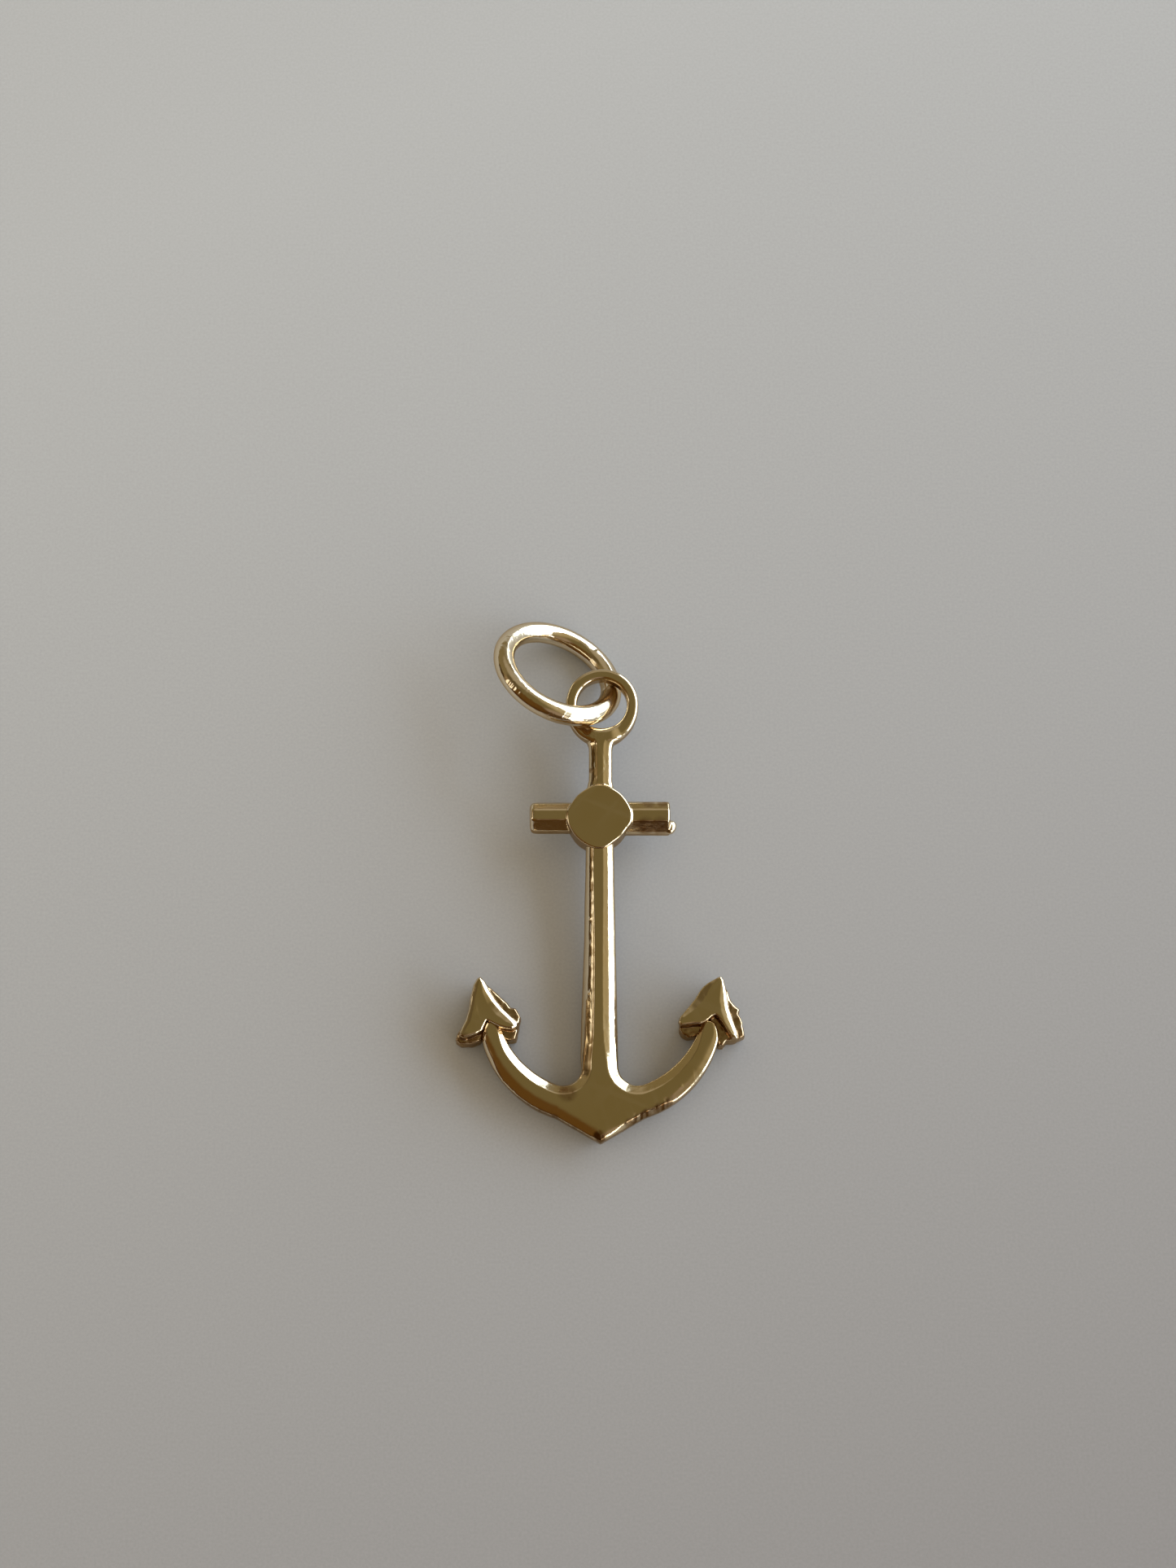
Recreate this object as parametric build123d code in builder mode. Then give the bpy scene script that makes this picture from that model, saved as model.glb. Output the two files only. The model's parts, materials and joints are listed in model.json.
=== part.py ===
from build123d import *
from math import asin, atan2, cos, degrees, hypot, isclose, radians, sin, sqrt
import os

# Anchor pendant of cast yellow gold with a round jump ring, lying on its back.
# Millimetres. +X runs to the right along the stock, +Y from the crown to the eye, +Z up from the surface.
# The origin is on the surface, under the middle of the whole.
# A height in this list is measured from the crown's tip toward the eye.

# Lower shank, crown and arms
anchor_length = 20.0        # crown tip to the top of the eye
body_thickness = 1.3
body_bevel = 0.37           # slope round the front and back faces
shank_width_top = 1.1
shank_width_root = 1.46
crown_flare = 1.85          # half width of the straight-sided point of the crown
crown_radius = 1.5          # where that point turns into the arms
arm_outer_radius = 4.52
arm_outer_x = 0.5           # middle of the arm's outer circle, from the middle of the shank
arm_base = 0.86             # height of the lowest point of that circle
arm_inner_radius = 3.99
arm_side_width = 0.67       # between the outer and the inner circle at the side
crown_width = 1.29          # between the two circles at the bottom
crotch_radius = 0.8         # corner between an arm and the shank
arm_end_height = 4.75

# Eye
eye_diameter = 3.06
eye_hole = 2.1
eye_thickness = 0.76
eye_rounding = 0.22         # of the edges of its band
eye_aside = 0.08            # its middle lies a little right of the shank's middle line
eye_drop = 0.22             # how much deeper its lower band is than its upper one

# Neck of the shank, from the disc to the eye
neck_width = 0.97
neck_thickness = 1.16
neck_bevel = 0.3
neck_overlap = 0.25         # how far it runs onto the lower band of the eye

# Disc over the crossing: a square set on its corner, with corners rounded so far that it looks round
disc_across = 2.42
disc_corner_radius = 0.85
disc_thickness = 1.46
disc_bevel = 0.07
disc_height = 13.57

# Stock
stock_length = 5.83
stock_width = 1.3
stock_thickness = 1.38
stock_bevel = 0.44
stock_end_rounding = 0.1
stock_above_disc = 0.06     # the stock's middle line above the middle of the disc

# Nub of metal left on the lower right corner of the stock
nub_diameter = 0.6
nub_inset = 0.03            # middle of the nub inside the end of the stock
nub_drop = 0.48             # and below the stock's middle line
nub_rise = 0.2              # and in front of the anchor's middle plane

# Flukes: an arrowhead on each arm, a crisp front layer on a wider back layer.
# The inner side of a fluke faces the shank and the outer side faces away from it.
# A reach is the distance of a barb's end from the middle line of the fluke.
fluke_length = 2.37         # tip to the line of the barbs
fluke_notch = 0.55          # depth of the notch between the barbs
fluke_notch_width = 1.5
fluke_tilt = 12.0           # degrees outward
fluke_thickness = 1.9
fluke_seat = 0.26           # notch beyond the middle of the arm's end, along the fluke
fluke_outset = 0.1          # and across it
front_reach = 1.23
front_hollow = 0.16         # how far its sides are hollow
front_tip_width = 0.32      # blunt tip
front_barb_end = 0.2        # blunt end of a barb
front_thickness = 0.7
front_bevel = 0.1
back_inner_reach = 1.32
back_outer_reach = 1.45
back_inner_bulge = 0.14     # how far its inner side stands out
back_left_hollow = 0.22     # how far the outer side of the left one is hollow
back_right_bulge = 0.04     # how far the outer side of the right one stands out
back_tip_width = 0.44
back_barb_end = 0.26
back_bevel = 0.12
back_shift = -0.06          # both back layers lie a little to the left of the front ones

# Jump ring
wire = 0.89
ring_radius = 2.453         # to the middle of the wire
ring_reach = 0.127          # how far the middle of the wire goes past the middle of the eye
ring_heading = 143.3        # degrees from +X to the line from the eye to the middle of the ring
ring_gap = 0.05             # least space between the wire and the eye, on each side

# Sizes that follow. The anchor is described in its own flat frame first: its middle plane is z = 0,
# the crown's tip is at x = 0, y = 0. It is laid down at the end.
half_body = body_thickness / 2
half_fluke = fluke_thickness / 2
eye_middle = Vector(eye_aside, anchor_length - eye_diameter / 2)
eye_bottom = eye_middle - Vector(0, eye_diameter / 2 + eye_drop)
stock_height = disc_height + stock_above_disc
tilt = radians(fluke_tilt)
fluke_along = Vector(sin(tilt), cos(tilt))
fluke_across = Vector(cos(tilt), -sin(tilt))

outer_middle = Vector(arm_outer_x, arm_base + arm_outer_radius)
inner_middle = Vector(
    arm_outer_x + arm_outer_radius - arm_side_width - arm_inner_radius,
    arm_base + crown_width + arm_inner_radius,
)


def below(middle, radius, x):
    """Point on the lower half of a circle, at a distance x from the middle of the shank."""
    return Vector(x, middle.Y - sqrt(radius ** 2 - (x - middle.X) ** 2))


def beside(middle, radius, y):
    """Point on the right half of a circle, at a height y."""
    return Vector(middle.X + sqrt(radius ** 2 - (y - middle.Y) ** 2), y)


def halfway(middle, radius, start, end):
    """Point of the circle half way round from one of its points to another."""
    return middle + ((start + end) / 2 - middle).normalized() * radius


crown_side = below(outer_middle, arm_outer_radius, crown_flare)
arm_end_outer = beside(outer_middle, arm_outer_radius, arm_end_height)
arm_end_inner = beside(inner_middle, arm_inner_radius, arm_end_height)
crotch = below(inner_middle, arm_inner_radius, shank_width_root / 2)
outer_way = halfway(outer_middle, arm_outer_radius, crown_side, arm_end_outer)
inner_way = halfway(inner_middle, arm_inner_radius, arm_end_inner, crotch)
arm_end = (arm_end_outer + arm_end_inner) / 2
notch = arm_end + fluke_along * fluke_seat + fluke_across * fluke_outset


# Lower shank, crown and arms: one outline, bevelled round both faces
with BuildPart() as body:
    with BuildSketch() as outline:
        with BuildLine():
            Line((0, 0), crown_side)
            ThreePointArc(crown_side, outer_way, arm_end_outer)
            Line(arm_end_outer, arm_end_inner)
            ThreePointArc(arm_end_inner, inner_way, crotch)
            Polyline(crotch, (shank_width_top / 2, disc_height), (0, disc_height))
            mirror(about=Plane.YZ)
        make_face()
        fillet(outline.vertices().filter_by(lambda corner: isclose(corner.Y, crotch.Y)), crotch_radius)
        fillet(outline.vertices().filter_by(lambda corner: isclose(corner.Y, crown_side.Y)), crown_radius)
    extrude(amount=half_body, both=True)
    chamfer(body.faces().filter_by(Axis.Z).edges(), body_bevel)

# Neck, from inside the disc to the eye's lower band
with BuildPart() as neck:
    with BuildSketch(Plane(origin=(0, disc_height, 0), x_dir=(1, 0, 0), z_dir=(0, 1, 0))) as neck_section:
        Rectangle(neck_width, neck_thickness)
        chamfer(neck_section.vertices(), neck_bevel)
    extrude(amount=eye_bottom.Y + neck_overlap - disc_height)

# Stock: a bevelled bar with softly rounded ends, and the nub on one of its corners
with BuildPart() as stock:
    with BuildSketch(Plane(origin=(0, stock_height, 0), x_dir=(0, 1, 0), z_dir=(1, 0, 0))) as stock_section:
        Rectangle(stock_width, stock_thickness)
        chamfer(stock_section.vertices(), stock_bevel)
    extrude(amount=stock_length / 2, both=True)
    fillet(stock.faces().filter_by(Axis.X).edges(), stock_end_rounding)
    with Locations((stock_length / 2 - nub_inset, stock_height - nub_drop, nub_rise)):
        Sphere(nub_diameter / 2)

# Disc
with BuildPart() as disc:
    with BuildSketch(Plane(origin=(0, disc_height, 0))):
        RectangleRounded(disc_across, disc_across, disc_corner_radius, rotation=45)
    extrude(amount=disc_thickness / 2, both=True)
    chamfer(disc.faces().filter_by(Axis.Z).edges(), disc_bevel)

# Eye: a band with rounded edges, round at the top and drawn out a little at the bottom
with BuildPart() as eye:
    with BuildSketch():
        with BuildLine():
            side_top = eye_middle + Vector(eye_diameter / 2, 0)
            side_bottom = side_top - Vector(0, eye_drop)
            across_eye = Vector(eye_diameter, 0)
            Line(side_bottom, side_top)
            ThreePointArc(side_top, eye_middle + Vector(0, eye_diameter / 2), side_top - across_eye)
            Line(side_top - across_eye, side_bottom - across_eye)
            ThreePointArc(side_bottom - across_eye, eye_bottom, side_bottom)
        make_face()
        with Locations(eye_middle):
            Circle(eye_hole / 2, mode=Mode.SUBTRACT)
    extrude(amount=eye_thickness / 2, both=True)
    fillet(eye.faces().filter_by(Axis.Z).edges(), eye_rounding)


def fluke_plan(side, reaches, bulges, tip_width, barb_end, shift):
    """Outline of one layer of a fluke on the left (-1) or the right (1) arm.

    Reaches and bulges are given for the inner and the outer side; a bulge below zero is a hollow.
    """

    def placed(along, across):
        spot = notch + fluke_along * along + fluke_across * across
        return Vector(side * spot.X + shift, spot.Y)

    tip_height = fluke_length - fluke_notch
    with BuildSketch() as plan:
        with BuildLine():
            Line(placed(tip_height, -tip_width / 2), placed(tip_height, tip_width / 2))
            for turn, reach, bulge in zip((-1, 1), reaches, bulges):
                tip = placed(tip_height, turn * tip_width / 2)
                barb_top = placed(barb_end - fluke_notch, turn * reach)
                away = (barb_top - tip).rotate(Axis.Z, -90 * turn * side).normalized() * -bulge
                ThreePointArc(tip, (tip + barb_top) / 2 + away, barb_top)
                Polyline(
                    barb_top,
                    placed(-fluke_notch, turn * reach),
                    placed(-fluke_notch, turn * fluke_notch_width / 2),
                    placed(0, 0),
                )
        make_face()
    return plan.sketch


def fluke(side, outer_bulge):
    """One fluke: the front layer with its bevel, on the back layer."""
    front_plan = fluke_plan(
        side, (front_reach, front_reach), (-front_hollow, -front_hollow), front_tip_width, front_barb_end, 0
    )
    back_plan = fluke_plan(
        side, (back_inner_reach, back_outer_reach), (back_inner_bulge, outer_bulge), back_tip_width,
        back_barb_end, back_shift
    )
    with BuildPart() as front:
        with BuildSketch(Plane.XY.offset(half_fluke - front_thickness)):
            add(front_plan)
        extrude(amount=front_thickness)
        chamfer(front.faces().sort_by(Axis.Z)[-1].edges(), front_bevel)
    with BuildPart() as whole:
        with BuildSketch(Plane.XY.offset(-half_fluke)):
            add(back_plan)
        extrude(amount=fluke_thickness - front_thickness)
        chamfer(whole.faces().sort_by(Axis.Z)[0].edges(), back_bevel)
        add(front.part)
    return whole.part


def ring_lean():
    """Slope at which the wire passes under one side of the eye and over the other, in radians.

    The sloping wire fits between the rounded edges of the band on the two sides of the hole:
    across * sin(lean) - through * cos(lean) = wire + 2 * ring_gap + 2 * eye_rounding.
    """
    across = eye_hole + 2 * eye_rounding
    through = eye_thickness - 2 * eye_rounding
    room = wire + 2 * ring_gap + 2 * eye_rounding
    return asin(room / hypot(across, through)) + atan2(through, across)


settling_steps = 20
lean = ring_lean()
heading = radians(ring_heading)
ring_middle = eye_middle + Vector(cos(heading), sin(heading)) * (ring_radius - ring_reach)
ring_normal = Vector(sin(lean) * sin(heading), -sin(lean) * cos(heading), cos(lean))
barb_low = notch - fluke_along * (fluke_notch - back_bevel) + fluke_across * (back_outer_reach - back_bevel)


def rest_slope():
    """Slope at which the flukes and the jump ring both touch the surface, in radians."""
    slope = 0.0
    for _ in range(settling_steps):
        up = Vector(0, sin(slope), cos(slope))
        ring_reach_down = ring_radius * sqrt(1 - ring_normal.dot(up) ** 2) + wire / 2
        slope = asin((ring_reach_down - half_fluke * cos(slope)) / (ring_middle.Y - barb_low.Y))
    return slope


slope = rest_slope()
lift = half_fluke * cos(slope) - barb_low.Y * sin(slope)
toward_eye = Vector(0, cos(slope), -sin(slope))
far_edge = ring_middle.dot(toward_eye) + ring_radius * sqrt(1 - ring_normal.dot(toward_eye) ** 2) + wire / 2
near_edge = -(half_body - body_bevel) * sin(slope)
lying = Plane(
    origin=(-back_shift, -(far_edge + near_edge) / 2, lift),
    x_dir=(1, 0, 0),
    z_dir=(0, -sin(slope), cos(slope)),
)

with BuildPart() as flat_anchor:
    add(body.part)
    add(neck.part)
    add(disc.part)
    add(stock.part)
    add(eye.part)
    for side, outer_bulge in ((-1, -back_left_hollow), (1, back_right_bulge)):
        add(fluke(side, outer_bulge))

with BuildPart() as anchor:
    add(flat_anchor.part.moved(lying.location))
anchor.part.label = "anchor"

ring_plane = Plane(lying.location * Plane(origin=ring_middle, z_dir=ring_normal).location)
with BuildPart(ring_plane) as jump_ring:
    Torus(ring_radius, wire / 2)
jump_ring.part.label = "jump_ring"

os.makedirs("parts", exist_ok=True)
export_step(anchor.part, "parts/anchor.step")
export_step(jump_ring.part, "parts/jump_ring.step")

for piece in (anchor.part, jump_ring.part):
    box = piece.bounding_box()
    print(f"{piece.label}: {len(piece.solids())} solid, {piece.volume:.3f} mm3, {box.min} to {box.max}")
print(f"ring leans {degrees(lean):.2f} degrees, anchor slopes {degrees(slope):.2f} degrees")
shared = anchor.part.intersect(jump_ring.part)
clearance = anchor.part.distance_to(jump_ring.part)
print(f"shared volume {shared.volume if shared else 0}, clearance {clearance:.4f} mm")
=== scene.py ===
# %% [markdown]
# An anchor pendant of cast yellow gold, 20 mm long, lies on its back on a pale table by a window.
# A jump ring goes through its eye. The model in model.glb is the frame: every piece made
# here takes the place of one of its nodes and stays inside its box.

# %% The frame
import json
from math import atan2, cos, degrees, exp, pi, radians, sin, sqrt, tan

import bmesh
import bpy
from mathutils import Matrix, Quaternion, Vector, noise


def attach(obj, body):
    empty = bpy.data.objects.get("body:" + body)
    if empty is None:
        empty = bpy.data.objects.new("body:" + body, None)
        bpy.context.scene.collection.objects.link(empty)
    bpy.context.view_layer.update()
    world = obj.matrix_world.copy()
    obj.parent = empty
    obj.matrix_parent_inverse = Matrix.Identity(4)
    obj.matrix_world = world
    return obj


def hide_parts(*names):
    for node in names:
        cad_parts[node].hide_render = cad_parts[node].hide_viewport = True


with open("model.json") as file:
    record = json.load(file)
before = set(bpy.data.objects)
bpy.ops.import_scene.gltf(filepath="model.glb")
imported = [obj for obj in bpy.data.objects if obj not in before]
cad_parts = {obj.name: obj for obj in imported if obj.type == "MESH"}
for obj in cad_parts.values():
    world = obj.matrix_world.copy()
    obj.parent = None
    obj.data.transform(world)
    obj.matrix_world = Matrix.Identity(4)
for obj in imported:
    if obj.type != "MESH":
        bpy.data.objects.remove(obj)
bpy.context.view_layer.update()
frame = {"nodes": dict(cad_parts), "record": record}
scene = bpy.context.scene
print("nodes:", sorted(frame["nodes"]))

# %% [markdown]
# The camera looks down, 16 degrees from straight above, from about 14 cm. A longer lens from
# further off would make the anchor look alike at top and bottom, so the distance matters too.

# %% Camera
mm = 0.001
camera_tilt = radians(16)
camera_distance = 142.221 * mm
camera_target = Vector((-0.4476, 4.3357, 0)) * mm
sensor_height = 36.0
frame_height_px, focal_px = 1927, 4119

camera = bpy.data.objects.new("camera", bpy.data.cameras.new("camera"))
camera.data.sensor_fit = "VERTICAL"
camera.data.sensor_height = sensor_height
camera.data.lens = focal_px / frame_height_px * sensor_height
camera.data.clip_start = 1 * mm
camera.location = camera_target + Vector((0, -sin(camera_tilt), cos(camera_tilt))) * camera_distance
camera.rotation_euler = (camera_tilt, 0, 0)
scene.collection.objects.link(camera)
scene.camera = camera
scene.view_settings.view_transform = "Standard"
print("lens", round(camera.data.lens, 2), "mm")

# %% [markdown]
# Light, table and gold are all drawn with the same few kinds of shader nodes. Small helpers add
# a node, give it its settings and feed its sockets, which keeps what follows short.

# %% Helpers for nodes


def feed(tree, node, fed):
    """Gives sockets of a node a value, or a link to what another node puts out."""
    for socket, value in dict(fed).items():
        if isinstance(value, bpy.types.NodeSocket):
            tree.links.new(value, node.inputs[socket])
        elif node.inputs[socket].type == "RGBA":
            node.inputs[socket].default_value = (*value, 1)
        else:
            node.inputs[socket].default_value = value


def add_node(tree, kind, fed=(), **settings):
    """Adds a node with its settings and feeds its sockets, by name or by number."""
    node = tree.nodes.new("ShaderNode" + kind)
    for setting, value in settings.items():
        setattr(node, setting, value)
    feed(tree, node, fed)
    return node


def ranged(tree, value, low, high, to_low=0.0, to_high=1.0, fading="LINEAR"):
    """Maps a value from one range to another and keeps it in there."""
    fed = {"Value": value, "From Min": low, "From Max": high, "To Min": to_low, "To Max": to_high}
    return add_node(tree, "MapRange", fed, interpolation_type=fading).outputs["Result"]


def blended(tree, factor, first, second, way="MIX"):
    """Mixes two colours."""
    fed = {"Factor": factor, "A": first, "B": second}
    return add_node(tree, "Mix", fed, data_type="RGBA", blend_type=way).outputs["Result"]


def new_group(name, inputs, outputs):
    """Starts a node group. Inputs are names with defaults, outputs are names with kinds."""
    group = bpy.data.node_groups.new(name, "ShaderNodeTree")
    for socket, default in inputs.items():
        kind = {3: "Vector", 4: "Color"}[len(default)] if isinstance(default, tuple) else "Float"
        made = group.interface.new_socket(socket, in_out="INPUT", socket_type="NodeSocket" + kind)
        made.default_value = default
    for socket, kind in outputs.items():
        group.interface.new_socket(socket, in_out="OUTPUT", socket_type="NodeSocket" + kind)
    print(name, "gives", *outputs)
    return group, group.nodes.new("NodeGroupInput").outputs, group.nodes.new("NodeGroupOutput")


# %% [markdown]
# Polished gold has hardly any colour of its own to show: it shows the room. So the light is built
# first, as a room that is dim and warm overhead, paler at the back and dark brown in front. It is
# a few soft patches, each mixed over the last by direction. A picture of a room would do the
# same, but this script reads none.

# %% Room light
soft_patch, given, result = new_group(
    "soft patch",
    {"Behind": (0, 0, 0, 1), "Patch": (0, 0, 0, 1), "Middle": (0, 0, 0), "Rim": 0, "Core": 0},
    {"Colour": "Color"},
)
toward = add_node(soft_patch, "TexCoord").outputs["Generated"]
fed = {0: toward, 1: given["Middle"]}
nearness = add_node(soft_patch, "VectorMath", fed, operation="DOT_PRODUCT").outputs["Value"]
patch_share = ranged(soft_patch, nearness, given["Rim"], given["Core"], fading="SMOOTHERSTEP")
feed(soft_patch, result, {"Colour": blended(soft_patch, patch_share, given["Behind"], given["Patch"])})


def heading(azimuth, elevation):
    """Direction with azimuth 0 toward +Y and 90 toward +X, in degrees."""
    flat = cos(radians(elevation))
    return Vector((flat * sin(radians(azimuth)), flat * cos(radians(azimuth)), sin(radians(elevation))))


room_patches = (
    # colour, azimuth, elevation, degrees to the rim, degrees to the core
    ((0.063, 0.025, 0.006), -142, 15, 72, 38),  # dark wood, front left
    ((0.071, 0.037, 0.011), 174, 0, 42, 20),  # and straight in front
    ((0.112, 0.055, 0.012), -136, 44, 40, 8),  # orange-brown shelf above it
    ((0.115, 0.085, 0.04), -64, 55, 22, 13),  # shade beside the ceiling
    ((0.25, 0.17, 0.085), -88, 24, 24, 8),  # glow round the doorway
    ((0.045, 0.024, 0.004), -72, 4, 16, 9),  # dark door frame beside it
    ((0.354, 0.305, 0.22), 0, 42, 28, 14),  # back wall
    ((0.28, 0.213, 0.153), 155, 48, 22, 8),  # front wall, high up
    ((0.158, 0.125, 0.055), 0, 88, 32, 14),  # ceiling
    ((0.4, 0.33, 0.19), 76, 34, 46, 16),  # glow round the window
)
colour = (0.198, 0.156, 0.077)  # plain walls between the patches

world = bpy.data.worlds.new("room")
world.use_nodes = True
scene.world = world
room = world.node_tree
for patch, azimuth, elevation, rim, core in room_patches:
    fed = {"Behind": colour, "Patch": patch, "Middle": heading(azimuth, elevation),
           "Rim": cos(radians(rim)), "Core": cos(radians(core))}
    colour = add_node(room, "Group", fed, node_tree=soft_patch).outputs["Colour"]
feed(room, room.nodes["Background"], {"Color": colour})
print("room:", len(room_patches), "soft patches")

# %% [markdown]
# The gold mirrors those patches, but the table is lit by one even, warm light, as white walls
# bounce it about. Past the table's edge the camera sees plain grey. The Light Path node tells the
# kinds of ray apart.

# %% Even light for the table
bounced_light, plain_backdrop = (0.87, 0.7, 0.47), (0.4, 0.39, 0.38)
rays = add_node(room, "LightPath").outputs
surround = room.nodes["Background"].outputs["Background"]
for flat_colour, ray in ((bounced_light, "Is Diffuse Ray"), (plain_backdrop, "Is Camera Ray")):
    even = add_node(room, "Background", {"Color": flat_colour}).outputs["Background"]
    surround = add_node(room, "MixShader", {"Fac": rays[ray], 1: surround, 2: even}).outputs["Shader"]
feed(room, room.nodes["World Output"], {"Surface": surround})
print("room:", len(room.nodes), "nodes")

# %% [markdown]
# The big window stands at the right, a little behind. A narrow second pane in front and a dim
# doorway at the left make the second and third highlights. Each is an area light with the size
# and the brightness of the thing itself, so its picture in the gold has the right shape.

# %% Windows


def pane(name, azimuth, low, high, distance, width, radiance, tint=(1, 1, 1), lean=0):
    """Upright area light that faces the pendant, between two elevations in degrees."""
    bottom, top = (distance * sin(radians(e)) / cos(radians(e)) for e in (low, high))
    light = bpy.data.lights.new(name, "AREA")
    light.shape = "RECTANGLE"
    light.size, light.size_y = width, top - bottom
    light.energy = radiance * pi * width * (top - bottom)
    light.color = tint
    made = bpy.data.objects.new(name, light)
    made.location = heading(azimuth, 0) * distance + Vector((0, 0, (top + bottom) / 2))
    turned = (-heading(azimuth, 0)).to_track_quat("-Z", "Y") @ Quaternion((0, 0, 1), radians(lean))
    made.rotation_euler = turned.to_euler()
    made.visible_camera = False
    scene.collection.objects.link(made)
    print(name, round(width, 2), "by", round(top - bottom, 2), "m")


pane("window", 72, -4, 44, 0.5, 1.1, 4.5, (0.82, 0.97, 1.15))
pane("second_pane", 138, -4, 30, 0.5, 0.17, 3.6)
pane("doorway", -90, 8, 42, 0.6, 0.15, 1.1, (1, 0.96, 0.84), lean=20)

# %% [markdown]
# The table is a matt pale grey sheet. Its colour has a slow change aslant across it, paler toward
# the top left, which is a painted fall-off of light, and a very fine grain.

# %% Table
table_size = 3.0
sheet = bmesh.new()
bmesh.ops.create_grid(sheet, x_segments=1, y_segments=1, size=table_size / 2)
table_mesh = bpy.data.meshes.new("table")
sheet.to_mesh(table_mesh)
sheet.free()
table = bpy.data.objects.new("table", table_mesh)
scene.collection.objects.link(table)

# the two greys are the shaded and the lit ends of a painted fall-off of light
shaded_end_grey, lit_end_grey = (0.214, 0.216, 0.228), (0.364, 0.385, 0.411)
falloff_half, falloff_slant = 40 * mm, -0.47
grain_cells, grain_strength = 9000, 0.1

table_look = bpy.data.materials.new("table_with_painted_falloff")
table_look.use_nodes = True
paint = table_look.node_tree
place = add_node(paint, "TexCoord").outputs["Object"]
split = add_node(paint, "SeparateXYZ", {"Vector": place}).outputs
aslant = add_node(paint, "Math", {0: split["X"], 1: falloff_slant, 2: split["Y"]}, operation="MULTIPLY_ADD")
# painted fall-off of light: the colour gets paler toward the top left
painted_falloff = ranged(paint, aslant.outputs["Value"], -falloff_half, falloff_half)
speckle = add_node(paint, "TexNoise", {"Vector": place, "Scale": grain_cells, "Detail": 2})
grey = blended(paint, painted_falloff, shaded_end_grey, lit_end_grey)
grey = blended(paint, grain_strength, grey, speckle.outputs["Fac"], "OVERLAY")
fed = {"Base Color": grey, "Roughness": 0.75, "Specular IOR Level": 0.25}
feed(paint, paint.nodes["Principled BSDF"], fed)
table_mesh.materials.append(table_look)
print("table:", table_size, "m square")

# %% [markdown]
# The anchor is cast in one piece, and a caster's wax is built from simple forms that melt into
# each other. This model is made the same way: each form is a small closed mesh, drawn in
# millimetres in the anchor's own flat frame (crown tip at x 0, y 0, middle plane at z 0). Then a
# voxel remesh melts them into one skin. A boolean union would keep every seam knife sharp,
# which no casting has.

# %% Helpers for the forms
forms = bmesh.new()  # the forms of one piece, before they are melted together
upright = Matrix.Rotation(radians(90), 3, "X")  # stands a flat section up


def add_to_forms(form):
    """Puts a finished form with the others."""
    bmesh.ops.recalc_face_normals(form, faces=form.faces)
    mesh = bpy.data.meshes.new("form")
    form.to_mesh(mesh)
    forms.from_mesh(mesh)
    print("form:", len(mesh.vertices), "points,", len(mesh.polygons), "faces")
    bpy.data.meshes.remove(mesh)
    form.free()


def ramp(value, low, high):
    """0 below low, 1 above high, smooth between."""
    share = min(max((value - low) / (high - low), 0), 1)
    return share * share * (3 - 2 * share)


def full_spin(form, middle, steps):
    """Spins a whole section once round a middle and closes the seam."""
    section = list(form.verts) + list(form.edges) + list(form.faces)
    bmesh.ops.spin(form, geom=section, cent=middle, axis=(0, 0, 1), angle=2 * pi, steps=steps, use_merge=True)


# %% [markdown]
# The rim of a form is described by its section: pairs of how far inward and how far below the
# front, from the outside to the flat. A wheel leaves round rims, and a file leaves flat facets.
# Facets are named by width and slope, since the slope decides which part of the room they mirror.

# %% Sections of rims


def quarter(width, drop, steps):
    """Section of a rounded rim."""
    turns = [pi / 2 * k / steps for k in range(steps + 1)]
    return [(width * (1 - cos(t)), drop * (1 - sin(t))) for t in turns]


def facets(*runs):
    """Section of flat facets, from the outside in: the width and the slope in degrees of each."""
    section = [(0, sum(width * tan(radians(slope)) for width, slope in runs))]
    for width, slope in runs:
        section.append((section[-1][0] + width, section[-1][1] - width * tan(radians(slope))))
    return section


def blend(one, other, share):
    """Section between two sections that have the same number of steps."""
    return [(a[0] + (b[0] - a[0]) * share, a[1] + (b[1] - a[1]) * share) for a, b in zip(one, other)]


def scaled(section, wider, deeper):
    """Section that is wider and deeper by two factors."""
    return [(across * wider, below * deeper) for across, below in section]


# %% [markdown]
# A plate is drawn by its outline, and each corner of the outline carries the section of its own
# rim. A rim of edges is extruded once for each step of the section, and each new corner is put in
# its place. A bevel gives one width all round; here the left rim can be lean and the right one full.

# %% Plate


def inward_ways(points, cut):
    """For each corner of a closed line, the way inward that moves both of its edges in by 1.

    At a cut end the corner slides along the cut instead, so that the end stays where it is.
    """
    area = sum(a.cross(b) for a, b in zip(points, points[1:] + points[:1]))
    ways = []
    for i, point in enumerate(points):
        behind, ahead = points[i - 1], points[(i + 1) % len(points)]
        before = (point - behind).normalized().orthogonal()
        after = (ahead - point).normalized().orthogonal()
        way = (before + after) / max(1 + before.dot(after), 0.6)
        if cut[i] and cut[i - 1]:
            way = (point - behind) / after.dot(point - behind)
        elif cut[i] and cut[(i + 1) % len(points)]:
            way = (ahead - point) / before.dot(ahead - point)
        ways.append((way if area > 0 else -way).to_3d())
    return ways


def grow_rim(form, rim, number, corners, ways, across, height):
    """Extrudes a rim of edges once, and puts each new point at its place over the outline."""
    grown = bmesh.ops.extrude_edge_only(form, edges=rim)["geom"]
    new = {v for v in grown if isinstance(v, bmesh.types.BMVert)}
    for v in new:
        i = number[v] = next(number[e.other_vert(v)] for e in v.link_edges if e.other_vert(v) not in new)
        v.co = Vector((*corners[i][:2], 0)) + ways[i] * across[i]
        v.co.z = height[i]
    return [e for e in grown if isinstance(e, bmesh.types.BMEdge) and all(v in new for v in e.verts)]


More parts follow.
